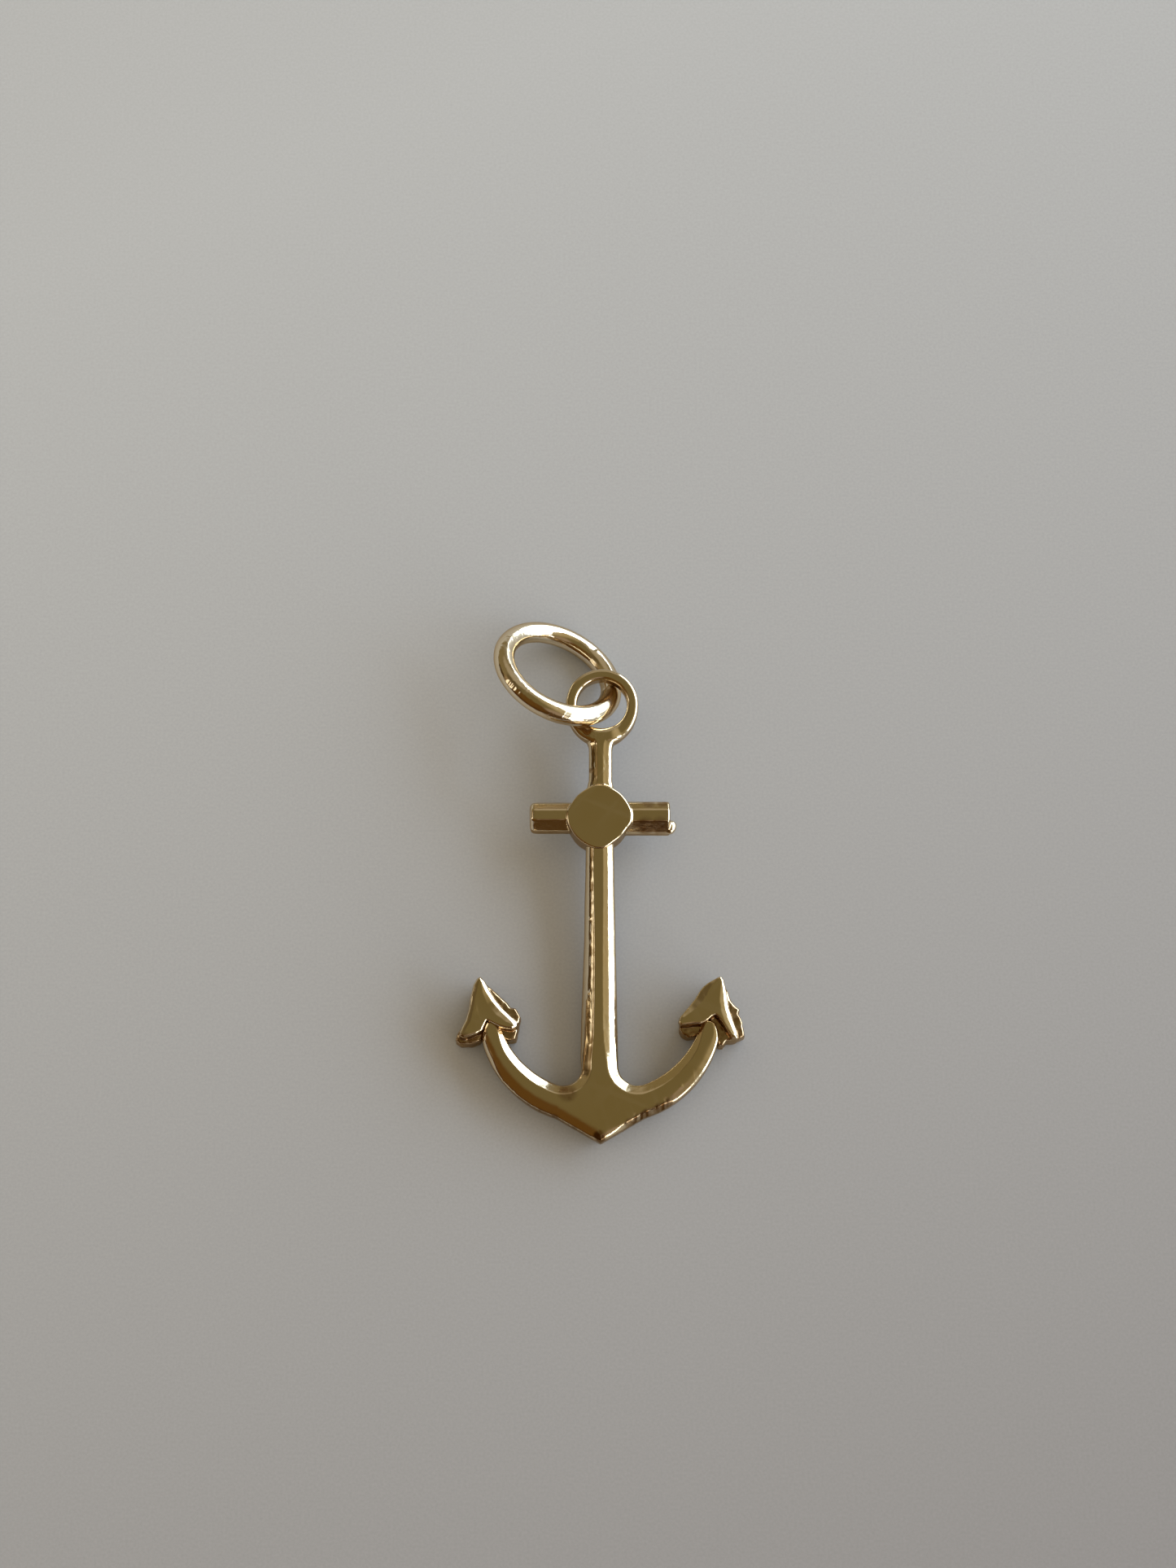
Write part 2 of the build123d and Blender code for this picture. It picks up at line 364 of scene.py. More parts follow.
def plate(corners, back, front, back_rim=0.1, is_cut=lambda x, y: False):
    """Adds a plate: corners are x, y and the section of the front rim there. Its cut ends get no rim."""
    form = bmesh.new()
    ways = inward_ways([Vector(c[:2]) for c in corners], [is_cut(x, y) for x, y, _ in corners])
    ring = [form.verts.new((x, y, front - section[0][1])) for x, y, section in corners]
    number = {v: i for i, v in enumerate(ring)}
    outside = [form.edges.new((ring[i - 1], ring[i])) for i in range(len(ring))]
    rim = outside
    for step in range(1, len(corners[0][2])):
        rim = grow_rim(form, rim, number, corners, ways, [c[2][step][0] for c in corners],
                       [front - c[2][step][1] for c in corners])
    bmesh.ops.contextual_create(form, geom=rim)
    rim = outside
    for across, above in quarter(back_rim, back_rim, 4):
        rim = grow_rim(form, rim, number, corners, ways, [across] * len(corners),
                       [back + above] * len(corners))
    bmesh.ops.contextual_create(form, geom=rim)
    add_to_forms(form)


# %% [markdown]
# The lower shank, the crown and the two arms are one flat shape. Its outline is drawn like a
# draughtsman does it: straight lines and arcs, each arc spun from the last point. Only the right
# half is drawn and then mirrored.

# %% Drawing lines and arcs


def arc(form, start, middle, to, steps):
    """Spins a vertex round a middle, the short way, until it lies toward another point."""
    turn = -(start.co - middle).xy.angle_signed((to - middle).xy)
    made = bmesh.ops.spin(form, geom=[start], cent=middle, axis=(0, 0, 1), angle=turn, steps=steps)
    return next(v for v in made["geom_last"] if isinstance(v, bmesh.types.BMVert))


def line(form, start, to):
    """Draws a straight edge from a vertex to a point."""
    end = bmesh.ops.extrude_vert_indiv(form, verts=[start])["verts"][0]
    end.co = to
    return end


def right_of(middle, radius, y):
    """Point at a height y on the right side of a circle."""
    return Vector((middle.x + sqrt(radius ** 2 - (y - middle.y) ** 2), y, 0))


# %% Sizes of the body
crown_flare, crown_radius = 1.85, 1.5
outer_radius, outer_middle = 4.52, Vector((0.5, 5.38, 0))
inner_radius, inner_middle = 3.99, Vector((0.36, 6.14, 0))
shank_top, shank_root, shank_end = 0.55, 0.73, 13.4
crotch_radius = 0.8
arm_end, arm_end_slant = 4.95, 0.08
half_body = 0.65

# the rounding where the crown's straight side runs into the arm's outer circle
flank_y = outer_middle.y - sqrt(outer_radius ** 2 - (crown_flare - outer_middle.x) ** 2)
flank = Vector((crown_flare, flank_y, 0)).normalized()
below_flank = Vector((flank.y, -flank.x, 0)) * crown_radius
offset = below_flank - outer_middle
both_radii = outer_radius + crown_radius
along = -flank.dot(offset) - sqrt(flank.dot(offset) ** 2 - offset.length_squared + both_radii ** 2)
crown_start = flank * along
crown_middle = crown_start + below_flank
crown_end = outer_middle + (crown_middle - outer_middle).normalized() * outer_radius

# the rounding between the arm and the shank
crotch_x = shank_root + crotch_radius
crotch_y = inner_middle.y - sqrt((inner_radius - crotch_radius) ** 2 - (crotch_x - inner_middle.x) ** 2)
crotch_middle = Vector((crotch_x, crotch_y, 0))
crotch_start = inner_middle + (crotch_middle - inner_middle).normalized() * inner_radius
crotch_end = Vector((shank_root, crotch_y, 0))
print("crotch middle at", [round(c, 2) for c in crotch_middle.xy])

# %% Outline of shank, crown and arms
crown_shares = (0.25, 0.4, 0.55, 0.7, 0.85, 1)
shank_shares = [0.02 * k for k in range(1, 11)] + [0.23, 0.26, 0.32] + [0.1 * k for k in range(4, 11)]

outline = bmesh.new()
pen = outline.verts.new((0, 0, 0))
for share in crown_shares:
    pen = line(outline, pen, crown_start * share)
pen = arc(outline, pen, crown_middle, crown_end, 6)
pen = arc(outline, pen, outer_middle, right_of(outer_middle, outer_radius, arm_end), 26)
pen = line(outline, pen, right_of(inner_middle, inner_radius, arm_end + arm_end_slant))
pen = arc(outline, pen, inner_middle, crotch_start, 24)
pen = arc(outline, pen, crotch_middle, crotch_end, 9)
for share in shank_shares:
    pen = line(outline, pen, crotch_end.lerp(Vector((shank_top, shank_end, 0)), share))
pen = line(outline, pen, (0, shank_end, 0))
right_half = list(outline.verts) + list(outline.edges)
bmesh.ops.mirror(outline, geom=right_half, axis="X", merge_dist=1e-4)
bmesh.ops.remove_doubles(outline, verts=outline.verts, dist=1e-4)
body_face = bmesh.ops.contextual_create(outline, geom=outline.edges)["faces"][0]
print("outline:", len(body_face.verts), "corners")

# %% [markdown]
# No hand-made anchor is quite even, so the mirrored outline gets its differences now: the arms
# narrow where they go in under the flukes, and the shank's left side is fuller low down.

# %% Uneven sides
right_narrowing, left_narrowing = 0.32, -0.36  # mm for the square of each mm up the arm's end
walk = []
for v in body_face.verts:
    x, y = v.co.xy
    narrowing = (right_narrowing if x > 0 else left_narrowing) if abs(x) > 4.5 else 0
    fuller = 0.03 + 0.06 * (1 - ramp(y, 5, 8.5)) if -1.6 < x < 0 else 0
    walk.append((x - narrowing * max(y - 4.0, 0) ** 2 - fuller * ramp(y, 2.4, 3.6) * ramp(-x, 0, 0.3), y))
print("body is", round(max(x for x, y in walk) - min(x for x, y in walk), 2), "mm wide")
outline.free()

# %% [markdown]
# The slopes round the front are not all the same. The right side of the shank is a full round
# shoulder that shows the whole window as a white line. The left side is a row of narrow facets.
# Under the left arm the file left a lazy slope, under the right one a broken edge, and the inner
# slopes of both arms are wide.

# %% Rims of the body
shoulder = [(0, 0.43), (0.02, 0.33), (0.07, 0.245), (0.16, 0.165), (0.29, 0.08), (0.33, 0.063),
            (0.45, 0.033), (0.51, 0.018), (0.56, 0)]
ridged = facets(
    (0.03, 70), (0.05, 63), (0.07, 58), (0.05, 50), (0.13, 41.5), (0.055, 18), (0.07, 41), (0.005, 20))
window_slope = [(0, 0.42), (0.02, 0.34), (0.05, 0.29), (0.12, 0.235), (0.2, 0.175), (0.28, 0.11),
                (0.34, 0.06), (0.39, 0.02), (0.44, 0)]
lazy_slope = facets(
    (0.02, 68), (0.05, 44), (0.08, 33), (0.1, 26), (0.11, 20), (0.12, 15), (0.12, 10), (0.14, 6))
steep_slope = facets(
    (0.02, 78), (0.04, 66), (0.05, 50), (0.06, 32), (0.09, 22), (0.12, 14), (0.14, 8), (0.17, 4))
cream_slope = facets(
    (0.05, 68), (0.1, 56), (0.06, 42), (0.09, 28), (0.1, 19), (0.11, 14), (0.12, 9), (0.13, 5))
polished_slope = facets(
    (0.02, 78), (0.03, 60), (0.06, 40), (0.24, 17), (0.03, 14), (0.1, 9), (0.1, 6), (0.1, 4))
broken_slope = facets(
    (0.02, 80), (0.08, 62), (0.09, 54), (0.02, 50), (0.06, 12), (0.09, 9), (0.14, 6), (0.17, 4))
widest_arm = 1.25


def shank_section(x, y):
    """Section on a side of the shank, which gets leaner toward the top."""
    if x > 0:
        fullness = 1.05 - 0.25 * ramp(y, 5.0, 13.0)
        return scaled(shoulder, fullness, fullness)
    fullness = 1.17 - 0.48 * ramp(y, 4.2, 13.5)
    return scaled(ridged, fullness, fullness)


def under_arm(x, y):
    """Section under an arm, before it is fitted to the arm's width."""
    if x < 0:
        return blend(lazy_slope, cream_slope, ramp(y, 2.7, 3.4))
    slope = blend(steep_slope, polished_slope, ramp(x, 2.6, 3.2))
    return blend(slope, broken_slope, ramp(x, 0.6, 0.9) * (1 - ramp(x, 2.7, 3.1)))


def body_section(x, y):
    """Section of the front rim at a corner of the body's outline."""
    place = Vector((abs(x), y, 0))
    from_inner = (place - inner_middle).length - inner_radius
    from_outer = outer_radius - (place - outer_middle).length
    if abs(x) < 1.0 and y > crotch_y + 2.0:
        return shank_section(x, y)
    if from_inner < 0.05 or (place - crotch_middle).length < crotch_radius + 0.05:
        width = 0.9 * min(from_outer, widest_arm)
        section = scaled(window_slope, 0.85 * width, (0.7 if x > 0 else 0.85) * width)
        if abs(x) < 1.7:
            section = blend(section, shank_section(x, y), ramp(y, crotch_y - 0.8, crotch_y + 1.6))
        return section
    if abs(x) < 1.9:
        return scaled(under_arm(x, y), 0.9, 0.8)
    width = 0.76 * min(from_inner, 1.2)
    return scaled(under_arm(x, y), width, width)


body_corners = []
for x, y in walk:
    narrow = 1 - 0.42 * ramp(y, 3.8, 4.8) if abs(x) > 3.5 else 1  # the rims narrow with the arms
    body_corners.append((x, y, scaled(body_section(x, y), narrow, narrow)))
plate(body_corners, -half_body, half_body, back_rim=0.37,
      is_cut=lambda x, y: abs(x) > 4 and y > arm_end - 0.001)

# %% [markdown]
# Now the forms are melted into one skin. The voxel is about as wide as the narrow facets of a
# rim, and a few rounds of smoothing take off the steps of its grid. The anchor is melted as four
# pieces, so that each can have a fine grid and stay under 200,000 triangles. They meet where the
# real one has a sharp corner.

# %% Melting forms together
body_voxel, head_voxel, fluke_voxel = 0.0377, 0.029, 0.026


def melt(voxel, rounds):
    """Melts the forms of one piece into a skin, and leaves the set of forms empty."""
    raw = bpy.data.meshes.new("raw_piece")
    forms.to_mesh(raw)
    forms.clear()
    carrier = bpy.data.objects.new("raw_piece", raw)
    scene.collection.objects.link(carrier)
    remesh = carrier.modifiers.new("melt", "REMESH")
    remesh.mode = "VOXEL"
    remesh.voxel_size = voxel
    skin = bmesh.new()
    skin.from_object(carrier, bpy.context.evaluated_depsgraph_get())
    bpy.data.objects.remove(carrier)
    bpy.data.meshes.remove(raw)
    for _ in range(rounds):
        bmesh.ops.smooth_vert(skin, verts=skin.verts, factor=0.5, use_axis_x=True, use_axis_y=True,
                              use_axis_z=True)
    print("skin:", len(skin.verts), "points,", len(skin.faces), "faces")
    return skin


# %% [markdown]
# A casting is never quite even. Its sides stay as they left the mould: wavy, a little rough, and
# reddish, and that darker colour on the sides and underside is partly painted shade. The front is
# filed and polished nearly flat. So each point moves a little along its normal, and two values are
# stored with it for the gold to read: how unpolished the skin is there, and how deep it lies in a
# hollow, which darkens the colour there as dirt and as painted shade.

# %% Casting marks


def near(place, spots):
    """How near a point lies to the nearest of some spots: x, y, radius."""
    return max(ramp(-(place.xy - Vector((x, y))).length, -radius, -0.4 * radius) for x, y, radius in spots)


def uneven(v, side, back, spot):
    """How far casting and filing moved a point: waves on sides and slopes, grit in rough spots."""
    slope = 1 - ramp(v.normal.z, 0.93, 0.995)
    low = noise.noise(v.co * 0.8) * 0.01 * max(side, back)
    fine = noise.noise(v.co * 3.3) * (0.001 + 0.0035 * slope)
    grit = noise.noise(v.co * 8.0 + Vector((3, 5, 7))) * (0.0028 * spot + 0.002 * side + 0.001 * back)
    return low + fine + grit


def cast_marks(skin, rough_spots, waviness=1.0):
    """Moves the points of a skin as casting and filing do, and stores its unpolished places and corners."""
    unpolished = skin.verts.layers.float.new("unpolished")
    # the corner mask darkens the colour in hollows: dirt and painted shade
    corner = skin.verts.layers.float.new("corner")
    skin.normal_update()
    moves = []
    for v in skin.verts:
        side = 1 - ramp(abs(v.normal.z), 0.15, 0.55)
        back = ramp(-v.normal.z, 0.2, 0.7)
        spot = near(v.co, rough_spots) if v.normal.z > -0.3 else 0
        # sides and underside get the dark red fire skin: partly real cast skin, partly painted shade
        v[unpolished] = max(0.65 * side, 0.4 * back, 0.8 * spot)
        moves.append(v.normal * uneven(v, side, back, spot) * waviness)
    for v, move in zip(skin.verts, moves):
        v.co += move
    # how deep a point lies in a hollow; the gold is painted darker there, as shade and dirt
    hollow = {}
    for v in skin.verts:
        others = [e.other_vert(v).co for e in v.link_edges]
        hollow[v] = (sum(others, Vector()) / len(others) - v.co).dot(v.normal)
    for _ in range(3):  # each value becomes the mean over the point and those next to it
        hollow = {v: (hollow[v] + sum(hollow[e.other_vert(v)] for e in v.link_edges))
                  / (1 + len(v.link_edges)) for v in skin.verts}
    edge_length = sum(e.calc_length() for e in skin.edges) / len(skin.edges)
    for v in skin.verts:
        v[corner] = ramp(hollow[v] / edge_length, 0.02, 0.12)


# %% [markdown]
# The anchor lies on its flukes and on the ring, so it slopes by a little under four degrees. Each
# finished piece is laid down like this and turned from millimetres into metres.

# %% Finishing a piece
rest_slope = radians(3.733)
crown_place = Vector((0.06, -11.2001, 0.668917))  # of the anchor's own origin, in mm on the table
lying = Matrix.Translation(crown_place) @ Matrix.Rotation(rest_slope, 4, "X")
table_gap, crown_limit = 0.002, -11.214  # just inside the frame's box, in mm


def finish_piece(form, name, replaced):
    """Makes an object in metres of a form in millimetres, in place of a node of the frame."""
    for v in form.verts:
        v.co.z = max(v.co.z, table_gap)
        v.co.y = max(v.co.y, crown_limit)
    bmesh.ops.scale(form, vec=(mm, mm, mm), verts=form.verts)
    for face in form.faces:
        face.smooth = True
    mesh = bpy.data.meshes.new(name)
    form.to_mesh(mesh)
    form.free()
    piece = bpy.data.objects.new(name, mesh)
    scene.collection.objects.link(piece)
    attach(piece, "root")
    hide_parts(replaced)
    print(name, len(mesh.polygons), "faces")
    return piece


def finish_casting(form, name):
    """Lays a piece of the anchor down in its place and finishes it."""
    bmesh.ops.transform(form, matrix=lying, verts=form.verts)
    return finish_piece(form, name, "anchor")


# %% [markdown]
# The lower half has marks of its own: file strokes under the right arm and along the left arm's
# lower edge, where slopes that face the front are painted darker as dirt and painted shade, darkened
# pits at the crown's tip, and small nubs where the mould was damaged. They could be painted in the
# material, but a nub shows by its glint, so it is real.

# %% Rough places, dirt and painted shade
body = melt(body_voxel, 2)
cast_marks(body, (  # x, y, radius
    (-1.35, 2.05, 0.5), (1.9, 1.15, 0.3), (2.4, 1.35, 0.35), (2.8, 1.6, 0.3), (1.2, 0.8, 0.25),
    (-1.9, 1.0, 0.25), (-2.5, 1.2, 0.25), (0, 0.25, 0.35),
))
tip_pits = ((0.0, 0.1, 0.28), (-0.15, 0.3, 0.2))
dirt_and_shade_top = 3.2
# the corner mask also carries dirt and painted shade on slopes that face the front
dirt_and_shade_layer = body.verts.layers.float["corner"]
for v in body.verts:
    if v.co.z > 0 and v.co.y < dirt_and_shade_top:
        patchy = 0.5 + 0.5 * ramp(noise.noise((v.co.x * 8, v.co.y * 2, 1)), -0.3, 0.3)
        # painted shade and dirt: slopes facing the front under the right arm and on the left arm's lower edge
        # are darkened
        strokes = ramp(v.co.x, 0.8, 1.4) * (1 - ramp(v.co.x, 2.7, 3.1)) * ramp(-v.normal.y, 0.1, 0.3)
        edge = ramp(-v.co.x, 0.2, 0.6) * (1 - ramp(-v.co.x, 3.4, 4.2)) * ramp(-v.normal.y, 0.55, 0.75)
        v[dirt_and_shade_layer] = max(v[dirt_and_shade_layer], strokes * patchy, 0.8 * edge * patchy, 0.8 * near(v.co, tip_pits))
print("darkened points:", sum(v[dirt_and_shade_layer] > 0.5 for v in body.verts))

# %% Nubs
nubs = (  # x, y, radius, height in mm
    (-0.43, 6.2, 0.055, 0.012), (-0.45, 5.1, 0.06, 0.012), (-0.42, 9.3, 0.05, 0.012),
    (-0.02, 0.42, 0.06, -0.02), (0.06, 0.25, 0.05, -0.02), (-0.1, 0.2, 0.06, -0.02),
    (0.62, 2.72, 0.07, 0.025), (0.78, 2.45, 0.06, 0.02), (-4.0, 2.55, 0.07, 0.02),
    (-3.75, 2.35, 0.07, 0.02), (-3.5, 2.15, 0.06, 0.02), (3.3, 2.3, 0.08, 0.015),
    (2.7, 1.75, 0.09, -0.02), (2.25, 1.5, 0.08, -0.015), (1.85, 1.3, 0.08, 0.015),
    (1.45, 1.15, 0.07, -0.015),
)
front_points = [v for v in body.verts if v.co.z > 0]
for x, y, radius, height in nubs:
    for v in front_points:
        away = (v.co.xy - Vector((x, y))).length
        if away < 2.5 * radius:
            v.co += v.normal * height * exp(-(away / radius) ** 2)
print("nubs:", len(nubs))

# %% [markdown]
# Down the left of the shank runs a broken ridge, where the halves of the mould let some metal
# through. It follows the shank's edge, which leans out by 0.0135 mm for each mm down.

# %% Ridge down the shank
ridge_half_width = 0.035
ridge_top_x, ridge_top_y, ridge_lean = -0.33, 12, 0.0135
ridge_from, ridge_to = 4, 12.2


def raise_ridge(v, away, height, row, breaks, fading):
    """Lifts a point by a ridge that comes and goes: breaks is how often, fading how softly."""
    left_over = ramp(noise.noise((row, v.co.y * breaks, 0)), -fading, fading)
    v.co.z += height * left_over * exp(-(away / ridge_half_width) ** 2)


for v in body.verts:
    from_edge = v.co.x - ridge_top_x + ridge_lean * (ridge_top_y - v.co.y)
    if v.co.z > 0.3 and abs(from_edge) < 0.2 and ridge_from < v.co.y < ridge_to:
        wander = 0.01 * noise.noise((0, v.co.y * 1.5, 0))
        raise_ridge(v, from_edge + wander, 0.01, 4, 2.2, 0.25)
shank_and_arms = finish_casting(body, "shank_and_arms")

# %% [markdown]
# The neck is a plate too, with a row of facets down each side. It flares out at both ends and gets
# thinner toward the eye, because that end was filed flat to take the ring.

# %% Neck
neck_line = (
    (-0.58, 17.0), (-0.54, 16.82), (-0.48, 16.66), (-0.47, 16.45), (-0.47, 15.6), (-0.48, 15.2),
    (-0.55, 14.9), (-0.72, 14.66), (-1.0, 14.45), (-1.0, 13.6), (1.0, 13.6), (0.95, 14.4), (0.7, 14.62),
    (0.55, 14.85), (0.5, 15.15), (0.5, 15.6), (0.5, 16.45), (0.52, 16.66), (0.58, 16.82), (0.64, 17.0),
)
neck_left = facets((0.02, 75), (0.05, 60), (0.03, 52), (0.15, 41), (0.05, 19), (0.05, 41), (0.01, 15))
neck_right = facets((0.02, 78), (0.03, 52), (0.07, 36), (0.05, 17), (0.09, 12), (0.07, 16), (0.05, 19))
plate([(x, y, neck_left if x < 0 else neck_right) for x, y in neck_line], -0.58, 0.57, back_rim=0.3,
      is_cut=lambda x, y: y > 16.9)
for v in forms.verts:
    v.co.z *= 1 - 0.135 * ramp(v.co.y, 15.2, 16.9)

# %% [markdown]
# The stock is a bar: a section pulled along a line. A plain extrusion would end as sharp as a
# ruler, so the section grows in a few stations near its end. The left end is worn round, and the
# right end was cut off square.

# %% Stock
stock_y = 13.63
stations = ((0, 0.62), (0.08, 0.78), (0.28, 0.91), (0.6, 0.975), (1.0, 1.0))  # share of wear, size
# sections: mm above the stock's middle line, mm in front of the middle plane
stock_left = (
    (-0.17, 0.69), (0.19, 0.69), (0.27, 0.66), (0.5, 0.5), (0.58, 0.38), (0.62, 0.2), (0.62, -0.25),
    (0.21, -0.69), (-0.21, -0.69), (-0.63, -0.25), (-0.63, 0.14), (-0.6, 0.28), (-0.28, 0.61), (-0.23, 0.66),
)
stock_right = (
    (-0.21, 0.69), (0.2, 0.69), (0.26, 0.67), (0.54, 0.47), (0.61, 0.37), (0.66, 0.2), (0.66, -0.25),
    (0.21, -0.69), (-0.21, -0.69), (-0.7, -0.25), (-0.7, 0.1), (-0.65, 0.24), (-0.31, 0.62), (-0.27, 0.66),
)


def bar(section, start, end, worn):
    """Adds a bar: a section pulled along X from an end that is worn over some length."""
    form = bmesh.new()
    face = form.faces.new([form.verts.new((start, stock_y + across, up)) for across, up in section])
    middle = Matrix.Translation((0, -stock_y, 0))
    way = 1 if end > start else -1
    bmesh.ops.scale(form, vec=(1, stations[0][1], stations[0][1]), space=middle, verts=form.verts)
    for (before, size_before), (after, size) in zip(stations, stations[1:] + ((None, 1.0),)):
        grown = bmesh.ops.extrude_face_region(form, geom=[face])["geom"]
        face = next(f for f in grown if isinstance(f, bmesh.types.BMFace))
        step = (after - before) * worn * way if after is not None else end - start - worn * way
        bmesh.ops.translate(form, verts=face.verts, vec=(step, 0, 0))
        bmesh.ops.scale(form, vec=(1, size / size_before, size / size_before), space=middle, verts=face.verts)
    add_to_forms(form)


bar(stock_left, -2.94, 0, worn=0.27)
bar(stock_right, 2.92, 0, worn=0.08)

# %% Drop of metal left on the stock's lower right corner
drop = bmesh.new()
bmesh.ops.create_icosphere(drop, subdivisions=3, radius=0.27)
bmesh.ops.scale(drop, vec=(0.9, 1.15, 0.85), verts=drop.verts)
bmesh.ops.rotate(drop, verts=drop.verts, matrix=Matrix.Rotation(radians(-28), 3, "Z"))
bmesh.ops.translate(drop, vec=(2.93, 13.2, 0.12), verts=drop.verts)
add_to_forms(drop)

# %% [markdown]
# The disc over the crossing was a circle once, but its four diagonal sides were filed flat.

# %% Disc
disc_middle, disc_radius, disc_front = Vector((-0.03, 13.57, 0)), 1.37, 0.76
filed_off = {  # mm, by whether a corner is on the right and whether it is above
    (True, True): 0.05, (True, False): 0.14, (False, True): 0.08, (False, False): 0.05,
}
disc = bmesh.new()
bmesh.ops.create_circle(disc, segments=72, radius=disc_radius)
for v in disc.verts:
    diagonal = abs(v.co.x * v.co.y) * 2 / v.co.length_squared  # 1 on a diagonal, 0 on an axis
    v.co *= 1 - filed_off[v.co.x > 0, v.co.y > 0] / disc_radius * ramp(diagonal, 0.25, 0.95)
bmesh.ops.translate(disc, verts=disc.verts, vec=disc_middle)
disc_rim = facets((0.015, 80), (0.035, 42), (0.03, 15))
plate([(*v.co.xy, disc_rim) for v in disc.verts], -0.73, disc_front, back_rim=0.07)
disc.free()

# %% [markdown]
# The eye is a band with soft edges. Its section is spun round the hole, and then its lower half is
# drawn down, as a caster leaves more metal where the eye joins the neck.

# %% Eye
eye_middle = Vector((0.08, 18.47, 0))
hole_radius, band, half_eye, soft = 1.05, 0.48, 0.38, 0.16
eye = bmesh.new()
bmesh.ops.create_grid(eye, x_segments=1, y_segments=1, size=0.5)
bmesh.ops.scale(eye, verts=eye.verts, vec=(band, 2 * half_eye, 1))
bmesh.ops.rotate(eye, verts=eye.verts, matrix=upright)
bmesh.ops.bevel(eye, geom=list(eye.verts), offset=soft, segments=5, profile=0.5, affect="VERTICES",
                material=-1)
bmesh.ops.translate(eye, verts=eye.verts, vec=eye_middle + Vector((hole_radius + band / 2, 0, 0)))
full_spin(eye, eye_middle, 96)
bmesh.ops.delete(eye, geom=[f for f in eye.faces if len(f.verts) > 4], context="FACES_ONLY")
for v in eye.verts:
    out = v.co.xy - eye_middle.xy
    low = max(-out.y / out.length, 0)
    share = (out.length - hole_radius) / band
    v.co.y -= 0.22 * low * share
    v.co.z *= 1 + 0.3 * ramp(low, 0.8, 0.99)
add_to_forms(eye)

# %% Head: neck, stock, disc and eye in one skin
head = melt(head_voxel, 2)
cast_marks(head, (
    (1.9, 13.15, 0.5), (2.5, 13.15, 0.5), (2.0, 14.2, 0.35), (2.6, 14.2, 0.3), (-0.4, 15.6, 0.15),
))
neck_ridge_x, neck_ridge_from, neck_ridge_to = -0.2, 15.1, 17.2
for v in head.verts:
    if neck_ridge_from < v.co.y < neck_ridge_to and v.co.x < neck_ridge_x and v.co.z > 0.2:
        raise_ridge(v, v.co.x - neck_ridge_x, 0.02, 9, 3.0, 0.2)
head_and_eye = finish_casting(head, "head_and_eye")

# %% [markdown]
# A fluke is an arrowhead of two layers: a crisp front face on a wider, rougher back. No two sides
# of the pair are alike, because each was finished by hand with a file. So every corner of a face
# names its own two facets: the width and slope of the outer one, then of the inner one.

# %% Making a fluke
face_front, face_back, layer_front, layer_back = 0.95, 0.1, 0.28, -0.95
edge_facet = (0.02, 80)
hollow_above, rough_below = 0.7, 0.5


def add_layers(face, back):
    """Adds both layers of a fluke. A face corner is x, y, then width and slope of its two facets."""
    plate([(x, y, facets(edge_facet, (outer, outer_slope), (inner, inner_slope)))
           for x, y, outer, outer_slope, inner, inner_slope in face], face_back, face_front, back_rim=0.03)
    plate([(x, y, quarter(0.09, 0.12, 3)) for x, y in back], layer_back, layer_front, back_rim=0.12)


def fluke(name, face, back, rough_spots, hollow=(0, 0, 1, 0)):
    """Makes a fluke. Its back layer stays as it left the mould. A hollow is x, y, reach and depth."""
    add_layers(face, back)
    piece = melt(fluke_voxel, 3)
    cast_marks(piece, rough_spots, waviness=1.2)
    unpolished = piece.verts.layers.float["unpolished"]
    x, y, reach, depth = hollow
    for v in piece.verts:
        if v.co.z > hollow_above:
            v.co.z -= depth * exp(-((v.co.xy - Vector((x, y))).length / reach) ** 2)
        elif v.co.z < rough_below:
            v.co += v.normal * 0.03 * noise.noise(v.co * 4.0)
            v[unpolished] = max(v[unpolished], 0.75)
    return finish_casting(piece, name)


# %% Left fluke
left_face = (
    (-4.93, 6.8, 0.05, 45, 0.05, 15), (-5.07, 6.74, 0.05, 55, 0.07, 20), (-5.22, 6.48, 0.05, 55, 0.14, 21),
    (-5.34, 6.0, 0.05, 55, 0.16, 21), (-5.4, 5.5, 0.05, 55, 0.16, 21), (-5.54, 5.0, 0.05, 55, 0.15, 20),
    (-5.76, 4.55, 0.05, 55, 0.12, 20), (-5.8, 4.34, 0.05, 50, 0.05, 20), (-5.62, 4.25, 0.05, 35, 0.04, 15),
    (-5.36, 4.33, 0.05, 30, 0.04, 12), (-5.1, 4.42, 0.05, 25, 0.04, 10), (-4.86, 4.56, 0.05, 25, 0.04, 10),
    (-4.66, 5.0, 0.03, 30, 0.02, 10), (-4.39, 4.84, 0.04, 45, 0.04, 10), (-4.16, 4.72, 0.04, 45, 0.04, 10),
    (-3.89, 4.63, 0.05, 45, 0.05, 10), (-3.62, 4.6, 0.08, 40, 0.06, 12), (-3.42, 4.72, 0.12, 36, 0.06, 12),
    (-3.38, 4.9, 0.15, 35, 0.1, 12), (-3.68, 5.18, 0.14, 35, 0.2, 14), (-4.02, 5.5, 0.14, 35, 0.24, 14),
    (-4.34, 5.88, 0.14, 35, 0.24, 14), (-4.58, 6.26, 0.13, 35, 0.16, 14), (-4.76, 6.62, 0.1, 38, 0.06, 12),
)
left_back = (
    (-4.9, 6.72), (-5.1, 6.62), (-5.2, 6.2), (-5.32, 5.6), (-5.6, 4.95), (-5.92, 4.46), (-5.96, 4.24),
    (-5.75, 4.08), (-5.3, 4.1), (-4.95, 4.22), (-4.66, 4.7), (-4.2, 4.42), (-3.8, 4.24), (-3.48, 4.28),
    (-3.38, 4.74), (-3.28, 5.22), (-3.5, 5.57), (-3.72, 5.62), (-3.85, 5.8), (-4.12, 6.03), (-4.5, 6.42),
)
